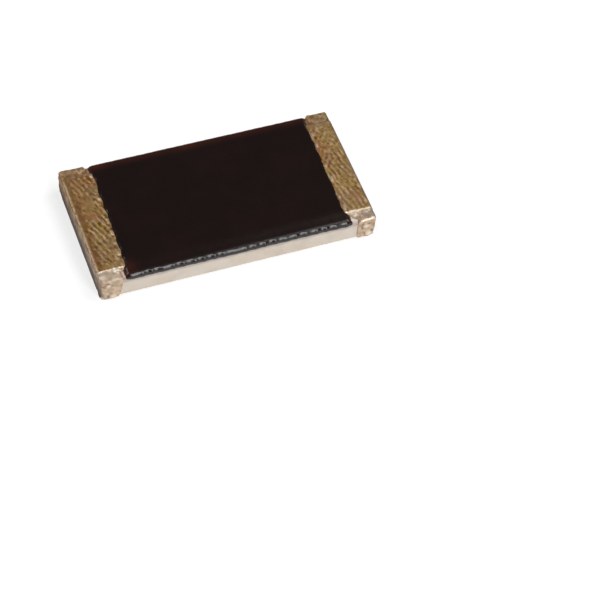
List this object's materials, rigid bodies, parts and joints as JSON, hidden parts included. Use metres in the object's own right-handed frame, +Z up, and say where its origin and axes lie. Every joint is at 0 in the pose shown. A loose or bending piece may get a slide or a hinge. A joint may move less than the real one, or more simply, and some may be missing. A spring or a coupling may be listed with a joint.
{
  "type": "chip resistor",
  "caption": "Flat rectangular chip resistor: a ceramic plate with a black coat on its top and metal terminations wrapped round its ends, for soldering to a circuit board.",
  "frame": {"origin": "middle of the soldered underside, on the plane of the two underside terminations", "axes": "+X along the chip's length, +Y across its width, +Z up through its coated top"},
  "size_m": [0.0064, 0.0032, 0.0007],
  "materials": {
    "alumina": "bare fired alumina, ivory, fine-grained and matt",
    "conductor": "fired silver-based conductor paste, dull and slightly rough",
    "resistive_film": "fired dark grey resistive glaze",
    "undercoat_glass": "fired green-grey glass",
    "overcoat": "brown-black, smooth, low satin gloss",
    "nickel": "plated nickel, even and dull",
    "terminal_finish": "dull gold-brown plating that shows the printed pads' screen weave, darker in its hollows"
  },
  "bodies": {
    "root": {"ceramic_substrate": "alumina", "top_pad_left": "conductor", "top_pad_right": "conductor", "bottom_pad_left": "conductor", "bottom_pad_right": "conductor", "resistor_film": "resistive_film", "glass_undercoat": "undercoat_glass", "black_overcoat": "overcoat", "end_cap_left": "conductor", "end_cap_right": "conductor", "nickel_barrier_left": "nickel", "nickel_barrier_right": "nickel", "outer_plating_left": "terminal_finish", "outer_plating_right": "terminal_finish"}
  },
  "joints": []
}
